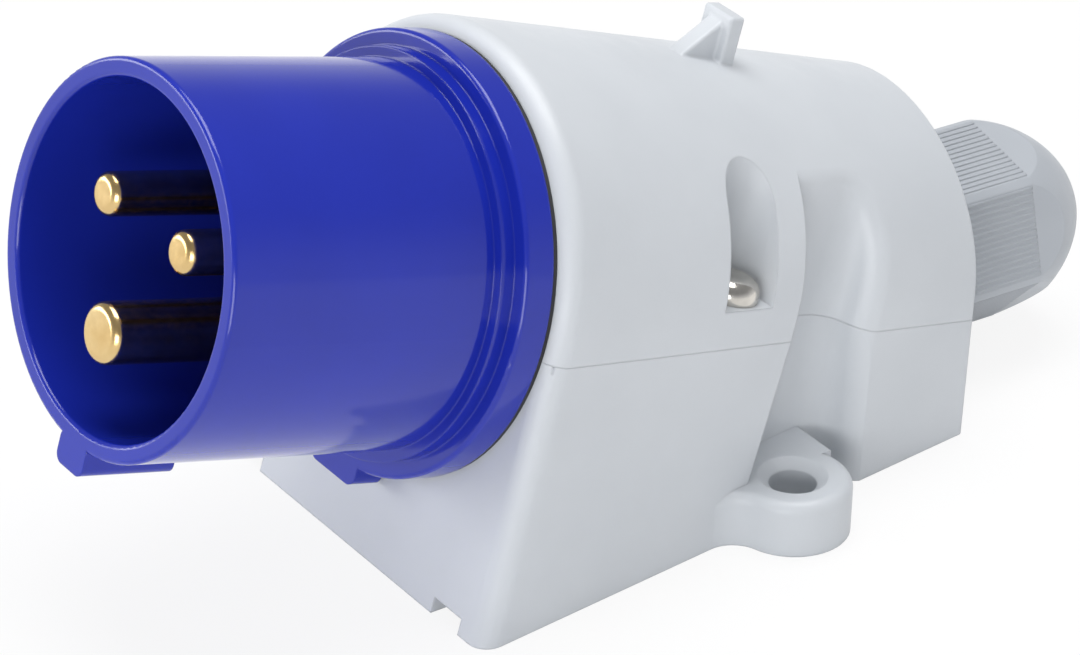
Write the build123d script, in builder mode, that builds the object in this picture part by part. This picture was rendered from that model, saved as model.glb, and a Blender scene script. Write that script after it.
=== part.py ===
import os
from math import cos, radians, sin, tan

from build123d import *

# Wall-mounted three-pin appliance plug: a two-part grey housing that carries a round blue plug
# shroud on its slanted front face and a cable gland on its rear wall.
# Millimetres, +Z up. The origin is midway between the two fixing-lug holes, on the mounting face.
# The plug points to -Y and upwards, and the cable leaves to +Y.

# Housing, driving dimensions
front_width = 56.3
rear_width = 40.5
base_length = 75.4
lug_to_front = 45.4
wall = 2.5
front_wall = 3.0
rear_wall = 3.0
front_rounding = 2.4
rear_rounding = 0.8
rear_spring = 18.9
rear_lean = 1.5
foot_recess = 1.8
floor_thickness = 2.0
foot_rim = 2.4

# Plug axis and parting plane
axis_tilt = 15.5
axis_up = 36.3
parting_slope = 15.0
parting_drop = 1.7

# Drain notches under the front edge
notch_width = 5.3
notch_height = 1.9
notch_center = 20.6

# Fixing lugs and the screwdriver channels above them
lug_x = 25.25
lug_radius = 7.0
lug_height = 6.8
lug_hole = 5.6
lug_dish = 8.2
lug_dish_angle = 100
lug_blend = 4.0
lug_rounding = 1.3
channel_depth = 5.8
channel_front = 0.1
channel_front_bottom = -8.2
channel_turn = 7.4
channel_turn_bottom = 6.6
channel_turn_angle = 80.0
channel_turn_radius = 3.85
channel_reach = 12.0
channel_end_low = 24.0
channel_end_rear = 21.0
channel_end_rounding = 3.0

# Cover screws and the pockets over them
screw_x = 20.0
screw_y = -8.0
pocket_radius = 3.8
pocket_floor = 4.6
post_radius = 4.4
screw_shank = 3.5
screw_head = 7.0
screw_head_height = 2.6
screw_length = 18.0
screw_head_rounding = 1.8
screw_cross = 1.1
screw_cross_length = 4.4
screw_cross_depth = 1.6

# Catch on the top of the cover
catch_rear = 6.1
catch_plate = 2.1
catch_width = 5.2
catch_height = 6.0
catch_web = 2.6
catch_web_length = 4.7
catch_rounding = 0.4

# Plug shroud, measured along the plug axis from the front face of the housing
shroud_diameter = 44.0
shroud_wall = 2.2
shroud_reach = 40.5
flange_diameter = 50.6
flange_thickness = 3.8
flange_rounding = 0.5
step_diameter = 46.6
step_thickness = 1.8
neck_diameter = 41.2
collar_diameter = 44.4
collar_thickness = 3.8
socket_floor = 2.5
carrier_diameter = 34.0
key_width = 5.4
key_height = 3.0
key_length = 12.0
key_rounding = 1.2
bump_width = 9.0
bump_height = 1.9
bump_rounding = 1.5
rim_rounding = 0.5

# Pins
live_pin_side = 7.75
live_pin_up = 4.4
earth_pin_down = 8.6
live_pin_diameter = 5.0
earth_pin_diameter = 7.0
live_pin_setback = 1.9
earth_pin_setback = -0.2
pin_rounding = 1.1
pin_groove_width = 1.0
pin_groove_depth = 0.4
barrel_diameter = 8.0
barrel_length = 11.0
wire_hole = 4.2
wire_depth = 9.0
terminal_screw = 3.5
terminal_screw_length = 6.0
terminal_screw_slot = 0.7
carrier_flange = 2.5
carrier_screw_circle = 19.4
carrier_screw_shank = 2.6
carrier_screw_head = 4.6
carrier_screw_length = 6.0

# Seals
seal_thickness = 0.6
gasket_depth = 1.0
gasket_outer_inset = 0.8
gasket_inner_inset = 1.9

# Cable gland, measured along its own axis from the rear wall
gland_height = 15.1
gland_thread = 16.0
gland_across_flats = 22.0
gland_corner_angle = 13.0
gland_washer_thickness = 1.2
gland_flange = 3.6
gland_neck_diameter = 18.2
gland_neck_end = 16.5
gland_nut_start = 6.0
gland_nut_shoulder = 19.5
gland_nut_end = 27.4
gland_dome_from = 17.6
gland_dome_start = 24.8
gland_dome_end = 13.6
gland_dome_middle = 20.6
gland_dome_middle_at = 23.2
cable_diameter = 9.0
gland_bore = 11.2
gland_seal_bore = 14.8
locknut_across_flats = 20.0
locknut_thickness = 4.5
tongue_radius = 13.2

# Fits
slide_gap = 0.15
thread_gap = 0.03
cut_through = 1.0
touching = 0.01

# Derived places
front_y = -lug_to_front
rear_y = front_y + base_length
tilt = radians(axis_tilt)
slope = radians(parting_slope)
lean = radians(rear_lean)
rearward = Vector(0, cos(lean), -sin(lean))
taper = (front_width - rear_width) / 2 / base_length
outward = Vector(0, -cos(tilt), sin(tilt))
up_face = Vector(0, sin(tilt), cos(tilt))
axis_point = Vector(0, front_y, 0) + up_face * axis_up
parting_point = Vector(0, front_y, 0) + up_face * (axis_up - parting_drop)
axis_plane = Plane(origin=axis_point, x_dir=(1, 0, 0), z_dir=outward)
parting_plane = Plane(origin=parting_point, x_dir=(1, 0, 0), z_dir=(0, sin(slope), cos(slope)))
gland_point = Vector(0, rear_y + gland_height * tan(lean), gland_height)
gland_plane = Plane(origin=gland_point, x_dir=(1, 0, 0), z_dir=rearward)
floor_top = foot_recess + floor_thickness
beyond = 3 * base_length
shroud_radius = shroud_diameter / 2
flange_back = seal_thickness
flange_front = flange_back + flange_thickness
collar_front = -front_wall - slide_gap
collar_back = collar_front - collar_thickness
carrier_back = collar_back - carrier_flange
pin_places = {
    "line": Vector(-live_pin_side, live_pin_up),
    "neutral": Vector(live_pin_side, live_pin_up),
    "earth": Vector(0, -earth_pin_down),
}


def half_width(y):
    # Half the plan width of the tapered housing at a distance along it
    return front_width / 2 - taper * (y - front_y)


def along_parting(y):
    # Distance down the parting plane of the place that stands at a given y
    return (y - parting_point.Y) / cos(slope)


def arch_sketch(plane, half_bottom, half_top, spring):
    # Upright outline with straight sides and a half-round top
    with BuildSketch(plane) as outline:
        with BuildLine():
            Polyline((-half_top, spring), (-half_bottom, 0), (half_bottom, 0), (half_top, spring))
            ThreePointArc((half_top, spring), (0, spring + half_top), (-half_top, spring))
        make_face()
    return outline.sketch


def tapered_block(inset, front_inset, rear_inset):
    # The housing's outer form, or the same form set in from every wall
    front_base = front_y + front_inset / cos(tilt)
    front_spring = axis_up - front_inset * tan(tilt)
    front_plane = Plane(origin=(0, front_base, 0), x_dir=(1, 0, 0), z_dir=outward)
    rear_plane = Plane(origin=(0, rear_y - rear_inset / cos(lean), 0), x_dir=(1, 0, 0), z_dir=-rearward)
    bottom_half = half_width(front_base) - inset
    spring_half = half_width(front_base + front_spring * sin(tilt)) - inset
    rear_half = half_width(rear_y - rear_inset) - inset
    front = arch_sketch(front_plane, bottom_half, spring_half, front_spring)
    rear = arch_sketch(rear_plane, rear_half, rear_half, rear_spring)
    with BuildPart() as block:
        loft([front, rear], ruled=True)
    return block.part


def channel_sketch(plane, front_half, first, turn, grow):
    # Plan of one side channel: square front wall, floor along the side wall, S-shaped end.
    # Growing it moves every side outwards by the same distance.
    floor_start = front_half - channel_depth - grow
    front = first - grow
    floor_end = floor_start - taper * (turn - front)
    out_radius = channel_turn_radius + grow
    back_radius = channel_turn_radius - grow
    with BuildSketch(plane) as plan:
        with BuildLine():
            wall_line = Line((floor_start + channel_reach, front), (floor_start, front))
            floor_line = Line(wall_line @ 1, (floor_end, turn))
            bend_out = JernArc(floor_line @ 1, floor_line % 1, out_radius, -channel_turn_angle)
            bend_back = JernArc(bend_out @ 1, bend_out % 1, back_radius, channel_turn_angle)
            end_line = Line(bend_back @ 1, ((wall_line @ 0).X, (bend_back @ 1).Y))
            Line(end_line @ 1, wall_line @ 0)
        make_face()
    return plan.sketch


def side_cuts(grow):
    # Both screwdriver channels and both screw pockets, grown for the inside of the wall
    upper_half = half_width(channel_front)
    upper_first = along_parting(channel_front)
    upper = channel_sketch(parting_plane, upper_half, upper_first, along_parting(channel_turn), grow)
    lower_plane = Plane.XY.offset(-cut_through)
    lower_half = half_width(channel_front_bottom)
    lower = channel_sketch(lower_plane, lower_half, channel_front_bottom, channel_turn_bottom, grow)
    pocket_start = 0 if grow else pocket_floor
    with BuildPart() as cuts:
        loft([lower, upper], ruled=True)
        extrude(upper, amount=base_length / 2, dir=parting_plane.z_dir)
        with BuildSketch(parting_plane.offset(pocket_start)):
            with Locations((screw_x, along_parting(screw_y))):
                Circle(pocket_radius + grow)
                Rectangle(channel_reach, 2 * (pocket_radius + grow), align=(Align.MIN, Align.CENTER))
        extrude(amount=base_length / 2)
        mirror(about=Plane.YZ)
    return cuts.part


def inset_block(inset):
    # Solid housing form at a constant depth below the outer skin
    with BuildPart() as block:
        add(tapered_block(inset, inset, inset))
        add(side_cuts(inset), mode=Mode.SUBTRACT)
    return block.part


def axis_cylinder(radius, start, end):
    # Round bar on the plug axis between two distances from the front face
    with BuildPart() as bar:
        with BuildSketch(axis_plane.offset(start)):
            Circle(radius)
        extrude(amount=end - start)
    return bar.part


def rear_tongue(grow):
    # Round-topped piece of the rear wall that carries the gland
    with BuildPart() as tongue:
        with BuildSketch(gland_plane.offset(-rear_wall - cut_through)):
            Circle(tongue_radius + grow)
            with Locations((0, gland_height / 2)):
                Rectangle(2 * (tongue_radius + grow), gland_height)
        extrude(amount=rear_wall + 2 * cut_through)
    return tongue.part


def half_space(above):
    # Large block on one side of the parting plane
    with BuildPart() as side:
        with BuildSketch(parting_plane):
            Rectangle(beyond, beyond)
        extrude(amount=beyond if above else -beyond)
    return side.part


screw_places = [(screw_x, along_parting(screw_y)), (-screw_x, along_parting(screw_y))]

# Whole housing shell before it is divided
with BuildPart() as shell:
    add(tapered_block(0, 0, 0))
    front_face = shell.faces().sort_by(Axis((0, 0, 0), tuple(outward)))[-1]
    front_edges = front_face.edges().filter_by(lambda edge: edge.center().Z > touching)
    rear_face = shell.faces().sort_by(Axis((0, 0, 0), tuple(rearward)))[-1]
    rear_edges = rear_face.edges().filter_by(lambda edge: edge.center().Z > touching)
    fillet(front_edges, front_rounding)
    fillet(rear_edges, rear_rounding)
    add(side_cuts(0), mode=Mode.SUBTRACT)
    skin = tapered_block(0, 0, 0).shell()
    rims = shell.edges().filter_by(lambda edge: skin.distance_to(edge @ 0.5) < touching)
    upper_rims = rims.filter_by_position(Axis.Z, channel_end_low, base_length)
    fillet(upper_rims.filter_by_position(Axis.Y, channel_turn_bottom, channel_end_rear), channel_end_rounding)

with BuildPart() as cavity:
    add(tapered_block(wall, front_wall, rear_wall))
    add(side_cuts(wall), mode=Mode.SUBTRACT)
    with Locations((0, 0, floor_top - base_length)):
        Box(2 * front_width, 3 * base_length, 2 * base_length, mode=Mode.SUBTRACT)

with BuildPart() as hollow:
    add(shell.part)
    add(cavity.part, mode=Mode.SUBTRACT)
    add(
        axis_cylinder(neck_diameter / 2 + slide_gap, -front_wall - cut_through, cut_through),
        mode=Mode.SUBTRACT,
    )
    with BuildSketch(gland_plane.offset(-rear_wall - cut_through)):
        Circle(gland_thread / 2)
    extrude(amount=rear_wall + 2 * cut_through, mode=Mode.SUBTRACT)

# Raised part of the rear wall that carries the gland and belongs to the base
with BuildPart() as gland_wall:
    add(hollow.part)
    add(rear_tongue(0), mode=Mode.INTERSECT)

# Cover gasket: a strip down each side, in a groove in the rim of the base
with BuildPart() as cover_gasket:
    add(inset_block(gasket_outer_inset))
    add(inset_block(gasket_inner_inset), mode=Mode.SUBTRACT)
    add(axis_cylinder(collar_diameter / 2 + slide_gap, collar_back, cut_through), mode=Mode.SUBTRACT)
    add(rear_tongue(2 * slide_gap), mode=Mode.SUBTRACT)
    add(half_space(True), mode=Mode.SUBTRACT)
    with BuildSketch(parting_plane.offset(-gasket_depth)):
        Rectangle(beyond, beyond)
    extrude(amount=-beyond, mode=Mode.SUBTRACT)

# Fixing lugs: round ears with dished holes, blended into the foot of each side wall
with BuildPart() as fixing_lugs:
    strip_front = -2 * lug_radius
    lug_root = half_width(0) - channel_depth - wall
    with BuildSketch(Plane.XY) as lug_plan:
        with BuildLine():
            Polyline(
                (lug_root, lug_radius),
                (lug_root, -lug_radius),
                (half_width(strip_front) - wall, strip_front),
                (half_width(strip_front), strip_front),
                (half_width(0), 0),
                (half_width(0), lug_radius),
                close=True,
            )
        make_face()
        with Locations((lug_x, 0)):
            Circle(lug_radius)
        front_corners = lug_plan.vertices().filter_by(
            lambda corner: abs(corner.X - half_width(corner.Y)) < touching and -lug_radius < corner.Y < 0
        )
        fillet(front_corners, lug_blend)
    extrude(amount=lug_height)
    lug_rims = fixing_lugs.edges().filter_by(
        lambda edge: abs(edge.center().Z - lug_height) < touching
        and edge.center().X > half_width(0) + slide_gap
    )
    fillet(lug_rims, lug_rounding)
    with Locations((lug_x, 0, lug_height)):
        CounterSinkHole(lug_hole / 2, lug_dish / 2, counter_sink_angle=lug_dish_angle)
    mirror(about=Plane.YZ)

# Base: lower shell, gland wall, screw posts, fixing lugs, recessed foot and drain notches
with BuildPart() as base_housing:
    add(hollow.part)
    add(half_space(True), mode=Mode.SUBTRACT)
    with BuildSketch(parting_plane):
        with Locations(*screw_places):
            Circle(post_radius)
    extrude(amount=-base_length / 2)
    add(shell.part, mode=Mode.INTERSECT)
    add(gland_wall.part)
    add(fixing_lugs.part)
    with BuildSketch(Plane.XY):
        with BuildLine():
            rim_front = front_y + foot_rim
            rim_rear = rear_y - foot_rim
            Polyline(
                (half_width(rim_front) - foot_rim, rim_front),
                (half_width(channel_front_bottom) - foot_rim, channel_front_bottom - 2 * foot_rim),
                (half_width(0) - channel_depth - 2 * foot_rim, channel_front_bottom - foot_rim),
                (half_width(0) - channel_depth - 2 * foot_rim, 2 * lug_radius),
                (half_width(rim_rear) - foot_rim, 3 * lug_radius),
                (half_width(rim_rear) - foot_rim, rim_rear),
                (0, rim_rear),
                (0, rim_front),
                close=True,
            )
        make_face()
        mirror(about=Plane.YZ)
    extrude(amount=foot_recess, mode=Mode.SUBTRACT)
    with Locations((notch_center, front_y, 0), (-notch_center, front_y, 0)):
        Box(notch_width, 4 * foot_rim, 2 * notch_height, mode=Mode.SUBTRACT)
    add(cover_gasket.part, mode=Mode.SUBTRACT)
    with BuildSketch(parting_plane):
        with Locations(*screw_places):
            Circle(screw_shank / 2 + thread_gap)
    extrude(amount=-(screw_length - pocket_floor + 2 * cut_through), mode=Mode.SUBTRACT)

# Cover: upper shell with the screw pockets, a notch over the gland wall and the catch on top
with BuildPart() as cover_housing:
    add(hollow.part)
    add(half_space(False), mode=Mode.SUBTRACT)
    add(rear_tongue(slide_gap), mode=Mode.SUBTRACT)
    with BuildSketch(parting_plane):
        with Locations(*screw_places):
            Circle(screw_shank / 2 + 2 * slide_gap)
    extrude(amount=pocket_floor + cut_through, mode=Mode.SUBTRACT)
    front_top = axis_point + up_face * half_width(axis_point.Y)
    rear_top_z = rear_spring + half_width(rear_y)
    top_fall = (front_top.Z - rear_top_z) / (rear_y - front_top.Y)
    catch_foot = front_top.Z - top_fall * (catch_rear - front_top.Y)
    catch_plane = Plane(origin=(0, catch_rear, catch_foot), x_dir=(1, 0, 0), z_dir=parting_plane.z_dir)
    with BuildSketch(catch_plane.offset(-wall)):
        Rectangle(catch_width, catch_plate, align=(Align.CENTER, Align.MAX))
    extrude(amount=wall + catch_height)
    web_top = catch_plane.from_local_coords(Vector(0, -catch_plate / 2, catch_height))
    web_foot = catch_plane.from_local_coords(Vector(0, -catch_plate / 2, -wall / 2))
    web_front = catch_rear - catch_plate - catch_web_length
    web_front_z = front_top.Z - top_fall * (web_front - front_top.Y)
    with BuildSketch(Plane.YZ):
        with BuildLine():
            Polyline(
                (web_foot.Y, web_foot.Z),
                (web_top.Y, web_top.Z),
                (web_front, web_front_z),
                (web_front, web_front_z - wall / 2),
                close=True,
            )
        make_face()
    extrude(amount=catch_web / 2, both=True)
    catch_low = catch_foot + catch_rounding
    catch_edges = cover_housing.edges().filter_by_position(Axis.Z, catch_low, base_length)
    fillet(catch_edges.filter_by_position(Axis.Y, web_front, catch_rear + catch_plate), catch_rounding)

# Shroud: socket tube, flange, neck clamped by both housing halves and the collar behind the wall
with BuildPart() as plug_shroud:
    with BuildSketch(axis_plane.offset(flange_back)):
        Circle(shroud_radius)
    extrude(amount=shroud_reach - flange_back)
    with BuildSketch(axis_plane.offset(socket_floor)):
        Circle(shroud_radius - shroud_wall)
    extrude(amount=shroud_reach, mode=Mode.SUBTRACT)
    mouth = plug_shroud.faces().sort_by(Axis((0, 0, 0), tuple(outward)))[-1]
    fillet(mouth.edges(), rim_rounding)
    with BuildSketch(axis_plane.offset(flange_back)):
        Circle(flange_diameter / 2)
        with Locations((0, -flange_diameter / 2)):
            RectangleRounded(bump_width, 2 * bump_height, bump_rounding)
        Circle(shroud_radius - shroud_wall / 2, mode=Mode.SUBTRACT)
    extrude(amount=flange_thickness)
    flange_rims = plug_shroud.edges().filter_by(
        lambda edge: abs(axis_plane.to_local_coords(edge.center()).Z - flange_front) < touching
    )
    fillet(flange_rims.sort_by(SortBy.LENGTH)[-1], flange_rounding)
    with BuildSketch(axis_plane.offset(flange_front)):
        Circle(step_diameter / 2)
        Circle(shroud_radius - shroud_wall / 2, mode=Mode.SUBTRACT)
    extrude(amount=step_thickness)
    with BuildSketch(axis_plane.offset(collar_back)):
        Circle(collar_diameter / 2)
    extrude(amount=collar_thickness)
    with BuildSketch(axis_plane.offset(collar_front)):
        Circle(neck_diameter / 2)
    extrude(amount=flange_back - collar_front)
    with BuildSketch(axis_plane.offset(shroud_reach)):
        with Locations((0, -(shroud_radius + key_height) / 2 - shroud_radius / 2 + shroud_wall / 4)):
            RectangleRounded(key_width, key_height + shroud_wall / 2, key_rounding)
    extrude(amount=-key_length)
    with BuildSketch(axis_plane.offset(collar_back)):
        Circle(carrier_diameter / 2)
    extrude(amount=shroud_reach, mode=Mode.SUBTRACT)
    with BuildSketch(axis_plane.offset(collar_back)):
        with PolarLocations(carrier_screw_circle, 2):
            Circle(carrier_screw_shank / 2 + thread_gap)
    extrude(amount=carrier_screw_length - carrier_flange + slide_gap, mode=Mode.SUBTRACT)

# Pin carrier: body in the shroud's bore, flange behind the collar, holes for the three pins
with BuildPart() as pin_carrier:
    with BuildSketch(axis_plane.offset(carrier_back)):
        Circle(collar_diameter / 2)
    extrude(amount=carrier_flange)
    with BuildSketch(axis_plane.offset(collar_back)):
        Circle(carrier_diameter / 2 - slide_gap)
    extrude(amount=socket_floor - collar_back)
    with BuildSketch(axis_plane.offset(carrier_back)):
        with Locations(pin_places["line"], pin_places["neutral"]):
            Circle(live_pin_diameter / 2 + thread_gap)
        with Locations(pin_places["earth"]):
            Circle(earth_pin_diameter / 2 + thread_gap)
        with PolarLocations(carrier_screw_circle, 2):
            Circle(carrier_screw_shank / 2 + slide_gap)
    extrude(amount=shroud_reach, mode=Mode.SUBTRACT)


def pin_frame(name):
    # Plane on the pin's own axis at the back of the carrier, its local X away from the plug axis
    place = pin_places[name]
    radial = Vector(place.X, 0, 0) + up_face * place.Y
    origin = axis_point + outward * carrier_back + radial
    return Plane(origin=origin, x_dir=radial, z_dir=outward)


def contact_pin(name, diameter, setback):
    # Round contact with a rounded tip, a groove where it leaves the carrier's face and a screw
    # barrel for the wire behind the carrier
    frame = pin_frame(name)
    length = shroud_reach - setback - carrier_back
    with BuildPart() as pin:
        with BuildSketch(frame):
            Circle(diameter / 2)
        extrude(amount=length)
        tip = pin.faces().sort_by(Axis((0, 0, 0), tuple(outward)))[-1]
        fillet(tip.edges(), pin_rounding)
        with BuildSketch(frame.offset(socket_floor - carrier_back)):
            Circle(diameter / 2 + cut_through)
            Circle(diameter / 2 - pin_groove_depth, mode=Mode.SUBTRACT)
        extrude(amount=pin_groove_width, mode=Mode.SUBTRACT)
        with BuildSketch(frame):
            Circle(barrel_diameter / 2)
        extrude(amount=-barrel_length)
        with BuildSketch(frame.offset(-barrel_length)):
            Circle(wire_hole / 2)
        extrude(amount=wire_depth, mode=Mode.SUBTRACT)
        with BuildSketch(terminal_plane(frame)):
            Circle(terminal_screw / 2 + thread_gap)
        extrude(amount=barrel_diameter, mode=Mode.SUBTRACT)
    return pin.part


def terminal_plane(frame):
    # Plane of the terminal screw: on the barrel's axis, facing away from the plug axis
    origin = frame.origin - frame.z_dir * (barrel_length / 2)
    return Plane(origin=origin, x_dir=frame.z_dir, z_dir=frame.x_dir)


def clamping_screw(name):
    # Slotted grub screw that clamps the wire in a pin's barrel
    start = terminal_plane(pin_frame(name)).offset(wire_hole / 2 - thread_gap)
    with BuildPart() as screw:
        with BuildSketch(start):
            Circle(terminal_screw / 2)
        extrude(amount=terminal_screw_length)
        with BuildSketch(start.offset(terminal_screw_length)):
            Rectangle(2 * terminal_screw, terminal_screw_slot)
        extrude(amount=-terminal_screw / 3, mode=Mode.SUBTRACT)
    return screw.part


with BuildPart() as line_pin:
    add(contact_pin("line", live_pin_diameter, live_pin_setback))

with BuildPart() as neutral_pin:
    add(contact_pin("neutral", live_pin_diameter, live_pin_setback))

with BuildPart() as earth_pin:
    add(contact_pin("earth", earth_pin_diameter, earth_pin_setback))

with BuildPart() as line_terminal_screw:
    add(clamping_screw("line"))

with BuildPart() as neutral_terminal_screw:
    add(clamping_screw("neutral"))

with BuildPart() as earth_terminal_screw:
    add(clamping_screw("earth"))

# Two screws that hold the carrier to the shroud's collar
with BuildPart() as carrier_screws:
    with BuildSketch(axis_plane.offset(carrier_back)):
        with PolarLocations(carrier_screw_circle, 2):
            Circle(carrier_screw_shank / 2)
    extrude(amount=carrier_screw_length)
    with BuildSketch(axis_plane.offset(carrier_back)):
        with PolarLocations(carrier_screw_circle, 2):
            Circle(carrier_screw_head / 2)
    extrude(amount=-carrier_screw_head / 3)

# Two pan-head cover screws with cross recesses
with BuildPart() as cover_screws:
    seat = parting_plane.offset(pocket_floor)
    with BuildSketch(seat):
        with Locations(*screw_places):
            Circle(screw_head / 2)
    extrude(amount=screw_head_height)
    head_tops = cover_screws.faces().sort_by(Axis((0, 0, 0), tuple(parting_plane.z_dir)))[-2:]
    fillet(head_tops.edges(), screw_head_rounding)
    with BuildSketch(seat):
        with Locations(*screw_places):
            Circle(screw_shank / 2)
    extrude(amount=-screw_length)
    with BuildSketch(seat.offset(screw_head_height)):
        with Locations(*screw_places):
            Rectangle(screw_cross_length, screw_cross)
            Rectangle(screw_cross, screw_cross_length)
    extrude(amount=-screw_cross_depth, mode=Mode.SUBTRACT)

# Flat seal between the shroud's flange and the housing
with BuildPart() as flange_gasket:
    with BuildSketch(axis_plane):
        Circle(flange_diameter / 2 - slide_gap)
        Circle(neck_diameter / 2 + slide_gap, mode=Mode.SUBTRACT)
    extrude(amount=seal_thickness)

# Gland body: hexagon outside the wall, thread through it, neck under the nut
with BuildPart() as gland_body:
    with BuildSketch(gland_plane.offset(gland_washer_thickness)):
        RegularPolygon(gland_across_flats / 2, 6, major_radius=False, rotation=gland_corner_angle)
    extrude(amount=gland_flange)
    with BuildSketch(gland_plane.offset(gland_washer_thickness)):
        Circle(gland_thread / 2 - thread_gap)
    extrude(amount=-(gland_washer_thickness + rear_wall + locknut_thickness + cut_through))
    with BuildSketch(gland_plane.offset(gland_washer_thickness + gland_flange)):
        Circle(gland_neck_diameter / 2)
    extrude(amount=gland_neck_end - gland_washer_thickness - gland_flange)
    with BuildSketch(gland_plane.offset(-rear_wall - 2 * locknut_thickness)):
        Circle(gland_bore / 2)
    extrude(amount=2 * base_length, mode=Mode.SUBTRACT)
    with BuildSketch(gland_plane.offset(gland_neck_end)):
        Circle(gland_seal_bore / 2)
    extrude(amount=-(gland_neck_end - gland_nut_start), mode=Mode.SUBTRACT)

# Rubber sleeve that grips the cable
with BuildPart() as gland_seal:
    with BuildSketch(gland_plane.offset(gland_nut_start)):
        Circle(gland_seal_bore / 2 - thread_gap)
        Circle(cable_diameter / 2, mode=Mode.SUBTRACT)
    extrude(amount=gland_nut_shoulder - gland_nut_start - cut_through)

# Domed clamping nut, hexagonal at its wide end
with BuildPart() as gland_nut:
    dome_plane = Plane(origin=gland_point, x_dir=(1, 0, 0), z_dir=gland_plane.x_dir.cross(rearward))
    with BuildSketch(dome_plane):
        with BuildLine():
            Polyline(
                (gland_dome_end / 2, gland_nut_end),
                (0, gland_nut_end),
                (0, gland_nut_start),
                (gland_dome_start / 2, gland_nut_start),
                (gland_dome_start / 2, gland_dome_from),
            )
            ThreePointArc(
                (gland_dome_start / 2, gland_dome_from),
                (gland_dome_middle / 2, gland_dome_middle_at),
                (gland_dome_end / 2, gland_nut_end),
            )
        make_face()
    revolve(axis=Axis(gland_point, rearward))
    with BuildSketch(gland_plane.offset(gland_nut_start)):
        RegularPolygon(gland_across_flats / 2, 6, major_radius=False, rotation=gland_corner_angle)
    extrude(amount=gland_nut_end - gland_nut_start, mode=Mode.INTERSECT)
    with BuildSketch(gland_plane.offset(gland_nut_start)):
        Circle(gland_neck_diameter / 2 + thread_gap)
    extrude(amount=gland_nut_shoulder - cut_through - gland_nut_start, mode=Mode.SUBTRACT)
    with BuildSketch(gland_plane.offset(gland_nut_start)):
        Circle(gland_bore / 2)
    extrude(amount=base_length, mode=Mode.SUBTRACT)

# Sealing washer outside the wall and locknut inside it
with BuildPart() as gland_washer:
    with BuildSketch(gland_plane):
        Circle(gland_across_flats / 2)
        Circle(gland_thread / 2 + slide_gap, mode=Mode.SUBTRACT)
    extrude(amount=gland_washer_thickness)

with BuildPart() as gland_locknut:
    with BuildSketch(gland_plane.offset(-rear_wall)):
        RegularPolygon(locknut_across_flats / 2, 6, major_radius=False)
        Circle(gland_thread / 2 + thread_gap, mode=Mode.SUBTRACT)
    extrude(amount=-locknut_thickness)

os.makedirs("parts", exist_ok=True)
pieces = {
    "base_housing": base_housing,
    "cover_housing": cover_housing,
    "cover_gasket": cover_gasket,
    "cover_screws": cover_screws,
    "plug_shroud": plug_shroud,
    "flange_gasket": flange_gasket,
    "pin_carrier": pin_carrier,
    "carrier_screws": carrier_screws,
    "line_pin": line_pin,
    "neutral_pin": neutral_pin,
    "earth_pin": earth_pin,
    "line_terminal_screw": line_terminal_screw,
    "neutral_terminal_screw": neutral_terminal_screw,
    "earth_terminal_screw": earth_terminal_screw,
    "gland_body": gland_body,
    "gland_washer": gland_washer,
    "gland_locknut": gland_locknut,
    "gland_seal": gland_seal,
    "gland_nut": gland_nut,
}
for piece_name, piece in pieces.items():
    piece.part.label = piece_name
    export_step(piece.part, f"parts/{piece_name}.step")
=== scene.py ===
from math import radians

import bmesh
import bpy
from mathutils import Matrix, Vector


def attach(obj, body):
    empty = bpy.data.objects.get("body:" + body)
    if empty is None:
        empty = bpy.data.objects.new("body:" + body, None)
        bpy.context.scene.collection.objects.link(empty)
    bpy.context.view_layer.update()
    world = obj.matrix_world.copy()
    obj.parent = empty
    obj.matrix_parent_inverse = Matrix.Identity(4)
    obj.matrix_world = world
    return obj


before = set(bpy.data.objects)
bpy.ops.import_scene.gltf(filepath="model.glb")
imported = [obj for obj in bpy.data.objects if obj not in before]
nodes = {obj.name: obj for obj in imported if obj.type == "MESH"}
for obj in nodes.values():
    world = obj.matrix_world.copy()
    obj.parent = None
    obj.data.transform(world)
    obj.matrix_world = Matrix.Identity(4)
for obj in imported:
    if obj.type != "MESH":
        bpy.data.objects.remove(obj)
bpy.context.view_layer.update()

# Base and cover of the housing: two injection mouldings in light grey plastic that meet on a
# slanting line. The tool gave them a fine satin grain, and their edges are just broken.
housing_grey = (0.60, 0.625, 0.655, 1)
housing_shade = (0.555, 0.58, 0.61, 1)
housing_roughness = (0.34, 0.46)
housing_grain = 2600
housing_grain_height = 0.00002
housing_edge = 0.00035
pattern_middle = (0.3, 0.7)
cloud_scale = 45
cloud_detail = 3
gloss_scale = 320
fine_detail = 4
grain_strength = 0.35
edge_samples = 6
plastic_ior = 1.5


def new_finish(name):
    # A material with its shader and the piece's own coordinates, ready for the rest
    finish = bpy.data.materials.new(name)
    finish.use_nodes = True
    tree = finish.node_tree
    shader = tree.nodes["Principled BSDF"]
    place = tree.nodes.new("ShaderNodeTexCoord").outputs["Object"]
    return finish, tree, shader, place


def speckle(tree, place, scale, detail):
    # Soft irregular pattern with features of about one over the scale, in metres
    noise = tree.nodes.new("ShaderNodeTexNoise")
    noise.inputs["Scale"].default_value = scale
    noise.inputs["Detail"].default_value = detail
    tree.links.new(place, noise.inputs["Vector"])
    return noise.outputs["Fac"]


def spread(tree, pattern, low, high):
    # Stretches a pattern's middle range to lie between two numbers
    stretch = tree.nodes.new("ShaderNodeMapRange")
    stretch.inputs["From Min"].default_value = pattern_middle[0]
    stretch.inputs["From Max"].default_value = pattern_middle[1]
    stretch.inputs["To Min"].default_value = low
    stretch.inputs["To Max"].default_value = high
    tree.links.new(pattern, stretch.inputs["Value"])
    return stretch.outputs["Result"]


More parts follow.
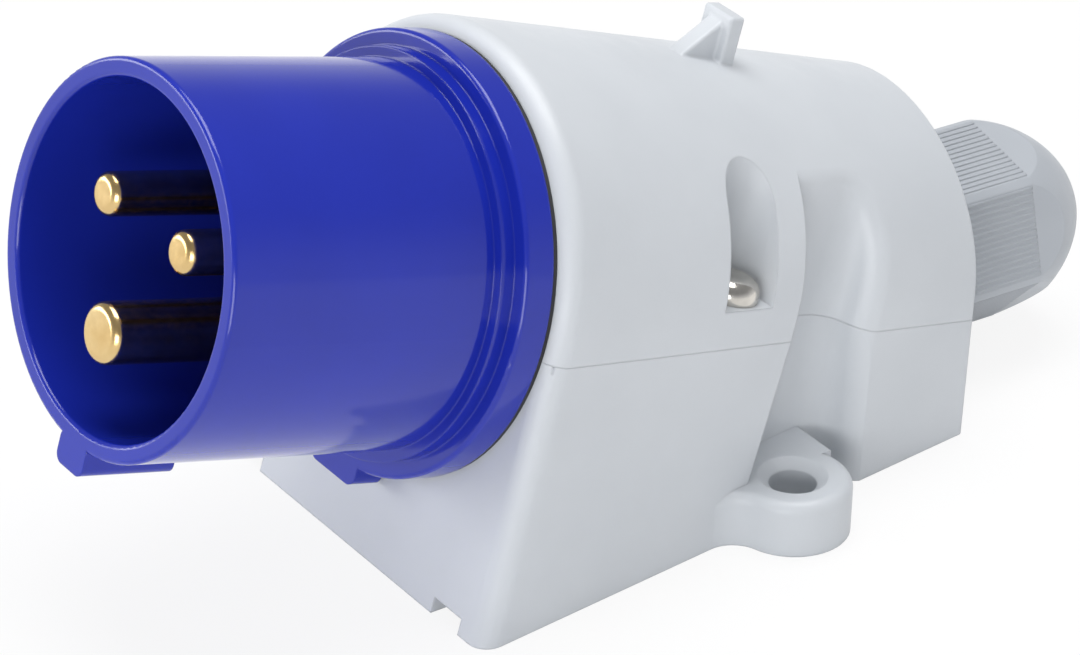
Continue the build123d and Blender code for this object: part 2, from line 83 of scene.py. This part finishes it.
def tint(tree, pattern, first, second):
    # Two colours mixed by a pattern
    mix = tree.nodes.new("ShaderNodeMix")
    mix.data_type = "RGBA"
    mix.inputs["A"].default_value = first
    mix.inputs["B"].default_value = second
    tree.links.new(pattern, mix.inputs["Factor"])
    return mix.outputs["Result"]


def relief(tree, pattern, strength, height, below):
    # Fine bumps from a pattern, laid over rounded edges
    bump = tree.nodes.new("ShaderNodeBump")
    bump.inputs["Strength"].default_value = strength
    bump.inputs["Distance"].default_value = height
    tree.links.new(pattern, bump.inputs["Height"])
    tree.links.new(below, bump.inputs["Normal"])
    return bump.outputs["Normal"]


def broken_edge(tree, radius):
    # Tiny radius that a mould leaves on every edge
    edge = tree.nodes.new("ShaderNodeBevel")
    edge.samples = edge_samples
    edge.inputs["Radius"].default_value = radius
    return edge.outputs["Normal"]


def moulded_plastic(name, colour, shade, roughness, grain, grain_height, edge):
    # Moulded plastic: flow clouds in the colour, patches in the gloss, grain on the skin
    finish, tree, shader, place = new_finish(name)
    clouds = spread(tree, speckle(tree, place, cloud_scale, cloud_detail), 0, 1)
    tree.links.new(tint(tree, clouds, colour, shade), shader.inputs["Base Color"])
    patches = spread(tree, speckle(tree, place, gloss_scale, fine_detail), *roughness)
    tree.links.new(patches, shader.inputs["Roughness"])
    grains = speckle(tree, place, grain, fine_detail)
    skin = relief(tree, grains, grain_strength, grain_height, broken_edge(tree, edge))
    tree.links.new(skin, shader.inputs["Normal"])
    shader.inputs["IOR"].default_value = plastic_ior
    return finish


def dress(node, finish):
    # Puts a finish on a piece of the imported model
    materials = nodes[node].data.materials
    materials.clear()
    materials.append(finish)


housing_plastic = moulded_plastic(
    "housing_plastic",
    housing_grey,
    housing_shade,
    housing_roughness,
    housing_grain,
    housing_grain_height,
    housing_edge,
)
dress("base_housing", housing_plastic)
dress("cover_housing", housing_plastic)

# Seals: the strip in the rim of the base, the flat ring behind the flange, the gland's washer and
# the sleeve in its nut. Black rubber with a dry bloom, pressed from sheet or moulded.
rubber_black = (0.016, 0.016, 0.018, 1)
rubber_bloom = (0.045, 0.045, 0.05, 1)
rubber_roughness = (0.6, 0.8)
rubber_grain = 3500
rubber_grain_height = 0.00004
rubber_edge = 0.0002

seal_rubber = moulded_plastic(
    "seal_rubber",
    rubber_black,
    rubber_bloom,
    rubber_roughness,
    rubber_grain,
    rubber_grain_height,
    rubber_edge,
)
for node in ("cover_gasket", "flange_gasket", "gland_washer", "gland_seal"):
    dress(node, seal_rubber)

# Shroud: a thick tube with its flange and key, moulded in one in deep glossy blue. The mould is
# polished, so its skin is almost flat, with the slow ripple of a thick moulding.
blue_deep = (0.010, 0.022, 0.33, 1)
blue_pale = (0.012, 0.026, 0.38, 1)
blue_roughness = (0.08, 0.14)
blue_ripple = 420
blue_ripple_height = 0.00001
blue_edge = 0.0003

blue_plastic = moulded_plastic(
    "blue_plastic", blue_deep, blue_pale, blue_roughness, blue_ripple, blue_ripple_height, blue_edge
)
dress("plug_shroud", blue_plastic)

# Carrier: the black moulding that closes the shroud's floor and holds the pins apart. Two screws
# fix it to the shroud from behind.
carrier_black = (0.010, 0.010, 0.012, 1)
carrier_grey = (0.016, 0.016, 0.018, 1)
carrier_roughness = (0.45, 0.6)
carrier_grain = 2200
carrier_grain_height = 0.00003
carrier_edge = 0.0002

carrier_plastic = moulded_plastic(
    "carrier_plastic",
    carrier_black,
    carrier_grey,
    carrier_roughness,
    carrier_grain,
    carrier_grain_height,
    carrier_edge,
)
dress("pin_carrier", carrier_plastic)

# Pins: solid brass bars turned to size, with rounded tips and faint rings from the tool.
# The rings follow the pins' own direction, which is the plug's axis.
brass_bright = (0.78, 0.58, 0.29, 1)
brass_dull = (0.68, 0.47, 0.20, 1)
brass_roughness = (0.16, 0.26)
plug_tilt = radians(15.5)
pin_rings = 900
metal_cloud_scale = 260
metal_gloss_scale = 1500
metal_edge = 0.0002
ring_wobble = 1.5
ring_strength = 0.25
ring_height = 0.00001


def turned_metal(name, bright, dull, roughness, turn, ring_scale):
    # Machined metal: clouds in the colour, patches in the gloss and rings across one direction
    finish, tree, shader, place = new_finish(name)
    clouds = spread(tree, speckle(tree, place, metal_cloud_scale, cloud_detail), 0, 1)
    tree.links.new(tint(tree, clouds, bright, dull), shader.inputs["Base Color"])
    patches = spread(tree, speckle(tree, place, metal_gloss_scale, fine_detail), *roughness)
    tree.links.new(patches, shader.inputs["Roughness"])
    along = tree.nodes.new("ShaderNodeMapping")
    along.inputs["Rotation"].default_value = (turn, 0, 0)
    tree.links.new(place, along.inputs["Vector"])
    rings = tree.nodes.new("ShaderNodeTexWave")
    rings.bands_direction = "Y"
    rings.inputs["Scale"].default_value = ring_scale
    rings.inputs["Distortion"].default_value = ring_wobble
    tree.links.new(along.outputs["Vector"], rings.inputs["Vector"])
    skin = relief(tree, rings.outputs["Fac"], ring_strength, ring_height, broken_edge(tree, metal_edge))
    tree.links.new(skin, shader.inputs["Normal"])
    shader.inputs["Metallic"].default_value = 1
    return finish


pin_brass = turned_metal("pin_brass", brass_bright, brass_dull, brass_roughness, plug_tilt, pin_rings)
for node in ("line_pin", "neutral_pin", "earth_pin"):
    dress(node, pin_brass)

# Screws: bright nickel on the two cover screws, which are seen from outside, and dull zinc on the
# terminal and carrier screws.
nickel_bright = (0.70, 0.67, 0.62, 1)
nickel_dull = (0.52, 0.50, 0.46, 1)
zinc_bright = (0.56, 0.56, 0.55, 1)
zinc_dull = (0.40, 0.40, 0.39, 1)
nickel_roughness = (0.14, 0.24)
zinc_roughness = (0.3, 0.42)
screw_rings = 1200

screw_nickel = turned_metal("screw_nickel", nickel_bright, nickel_dull, nickel_roughness, 0, screw_rings)
terminal_steel = turned_metal("terminal_steel", zinc_bright, zinc_dull, zinc_roughness, 0, screw_rings)
dress("cover_screws", screw_nickel)
for node in ("line_terminal_screw", "neutral_terminal_screw", "earth_terminal_screw", "carrier_screws"):
    dress(node, terminal_steel)

# Cable gland: hexagonal body, locknut and domed nut in a darker grey, moulded with a matt skin.
# The nut's flats carry rows of fine ribs for grip.
gland_grey = (0.45, 0.475, 0.51, 1)
gland_shade = (0.40, 0.425, 0.46, 1)
gland_roughness = (0.38, 0.5)
gland_grain = 2400
gland_grain_height = 0.00002
gland_edge = 0.0004
gland_center = Vector((0, 0.03040, 0.01510))
gland_lean = radians(1.5)
nut_sides = 6
nut_corner_angle = 13
nut_flat_radius = 0.0110
rib_rows = 15
rib_pitch = 0.00076
rib_width = 0.00040
rib_height = 0.00009
rib_start = 0.0072
rib_end = 0.0174
rib_rounding = 0.6 * rib_height

gland_plastic = moulded_plastic(
    "gland_plastic", gland_grey, gland_shade, gland_roughness, gland_grain, gland_grain_height, gland_edge
)
for node in ("gland_body", "gland_nut", "gland_locknut"):
    dress(node, gland_plastic)

ribs = bmesh.new()
for flat in range(nut_sides):
    for row in range(rib_rows):
        rib = bmesh.ops.create_cube(ribs, size=1)["verts"]
        offset = (row - (rib_rows - 1) / 2) * rib_pitch
        bmesh.ops.scale(ribs, vec=(2 * rib_height, rib_width, rib_end - rib_start), verts=rib)
        bmesh.ops.translate(ribs, vec=(nut_flat_radius, offset, (rib_start + rib_end) / 2), verts=rib)
        flat_angle = nut_corner_angle + (flat + 0.5) * 360 / nut_sides
        turn = Matrix.Rotation(radians(flat_angle), 3, "Z")
        bmesh.ops.rotate(ribs, cent=(0, 0, 0), matrix=turn, verts=rib)
rib_lengths = [edge for edge in ribs.edges if edge.calc_length() > 2 * rib_width]
bmesh.ops.bevel(
    ribs, geom=rib_lengths, offset=rib_rounding, affect="EDGES", segments=2, profile=0.5, material=-1
)
lay_back = Matrix.Rotation(radians(-90) - gland_lean, 3, "X")
bmesh.ops.rotate(ribs, cent=(0, 0, 0), matrix=lay_back, verts=ribs.verts)
bmesh.ops.translate(ribs, vec=gland_center, verts=ribs.verts)
bmesh.ops.recalc_face_normals(ribs, faces=ribs.faces)
rib_mesh = bpy.data.meshes.new("nut_grip_ribs")
ribs.to_mesh(rib_mesh)
ribs.free()
nut_grip_ribs = bpy.data.objects.new("nut_grip_ribs", rib_mesh)
bpy.context.scene.collection.objects.link(nut_grip_ribs)
rib_mesh.materials.append(gland_plastic)
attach(nut_grip_ribs, "root")

# Studio: a wide white floor that keeps a faint shadow, a pale room that is lightest at the horizon,
# a large softbox overhead and two low ones in front.
floor_size = 6.0
floor_white = (0.86, 0.86, 0.86, 1)
floor_roughness = 0.9
floor_glow = 0.88
room_grey = (0.62, 0.63, 0.65, 1)
horizon_light = 1.15
ceiling_light = 0.5
ceiling_from = 0.5

room = bpy.data.worlds.new("room")
room.use_nodes = True
room.node_tree.nodes["Background"].inputs["Color"].default_value = room_grey
fade = room.node_tree.nodes.new("ShaderNodeMapRange")
fade.interpolation_type = "SMOOTHSTEP"
fade.inputs["From Min"].default_value = 0
fade.inputs["From Max"].default_value = ceiling_from
fade.inputs["To Min"].default_value = horizon_light
fade.inputs["To Max"].default_value = ceiling_light
upward = room.node_tree.nodes.new("ShaderNodeSeparateXYZ")
direction = room.node_tree.nodes.new("ShaderNodeTexCoord").outputs["Generated"]
room.node_tree.links.new(direction, upward.inputs["Vector"])
room.node_tree.links.new(upward.outputs["Z"], fade.inputs["Value"])
room.node_tree.links.new(fade.outputs["Result"], room.node_tree.nodes["Background"].inputs["Strength"])
bpy.context.scene.world = room

sheet = bmesh.new()
bmesh.ops.create_grid(sheet, x_segments=1, y_segments=1, size=floor_size / 2)
floor_mesh = bpy.data.meshes.new("floor")
sheet.to_mesh(floor_mesh)
sheet.free()
floor = bpy.data.objects.new("floor", floor_mesh)
bpy.context.scene.collection.objects.link(floor)

floor_paint, floor_tree, floor_shader, _ = new_finish("floor_paint")
floor_shader.inputs["Base Color"].default_value = floor_white
floor_shader.inputs["Roughness"].default_value = floor_roughness
rays = floor_tree.nodes.new("ShaderNodeLightPath")
seen = rays.outputs["Is Camera Ray"]
for ray in ("Is Glossy Ray", "Is Transmission Ray"):
    either = floor_tree.nodes.new("ShaderNodeMath")
    either.operation = "MAXIMUM"
    floor_tree.links.new(seen, either.inputs[0])
    floor_tree.links.new(rays.outputs[ray], either.inputs[1])
    seen = either.outputs["Value"]
share = floor_tree.nodes.new("ShaderNodeMath")
share.operation = "MULTIPLY"
share.inputs[1].default_value = floor_glow
floor_tree.links.new(seen, share.inputs[0])
glow = floor_tree.nodes.new("ShaderNodeEmission")
blend = floor_tree.nodes.new("ShaderNodeMixShader")
floor_tree.links.new(share.outputs["Value"], blend.inputs["Fac"])
floor_tree.links.new(floor_shader.outputs["BSDF"], blend.inputs[1])
floor_tree.links.new(glow.outputs["Emission"], blend.inputs[2])
floor_tree.links.new(blend.outputs["Shader"], floor_tree.nodes["Material Output"].inputs["Surface"])
floor_mesh.materials.append(floor_paint)


def softbox(name, place, target, width, height, watts):
    # Rectangular studio lamp aimed at a point
    lamp = bpy.data.lights.new(name, "AREA")
    lamp.shape = "RECTANGLE"
    lamp.size = width
    lamp.size_y = height
    lamp.energy = watts
    holder = bpy.data.objects.new(name, lamp)
    holder.location = place
    holder.rotation_euler = (Vector(target) - Vector(place)).to_track_quat("-Z", "Y").to_euler()
    bpy.context.scene.collection.objects.link(holder)


softbox("overhead_softbox", (-0.1, 0.05, 0.75), (0, 0, 0.03), width=0.6, height=0.5, watts=5.5)
softbox("low_right_softbox", (0.5, -0.6, 0.16), (0, 0, 0.02), width=0.5, height=0.3, watts=2.4)
softbox("low_left_softbox", (-0.55, -0.55, 0.12), (0, 0, 0.02), width=0.5, height=0.2, watts=1.7)

# Camera of the photograph: a long lens in front of the right side, looking down by thirty degrees.
# Its place and turn were solved from the edges of the pieces.
camera_place = Vector((0.39894, -0.30718, 0.30602))
camera_right = Vector((0.57446, 0.81816, 0.0249))
camera_up = Vector((-0.42367, 0.27117, 0.86427))
camera_back = Vector((0.70036, -0.50704, 0.5024))
camera_lens = 164.05

lens = bpy.data.cameras.new("photo_camera")
lens.sensor_fit = "HORIZONTAL"
lens.sensor_width = 36
lens.lens = camera_lens
lens.clip_start = 0.01
camera = bpy.data.objects.new("photo_camera", lens)
turned = Matrix((camera_right, camera_up, camera_back)).transposed().to_4x4()
camera.matrix_world = Matrix.Translation(camera_place) @ turned
bpy.context.scene.collection.objects.link(camera)
bpy.context.scene.camera = camera
bpy.context.scene.view_settings.view_transform = "Standard"
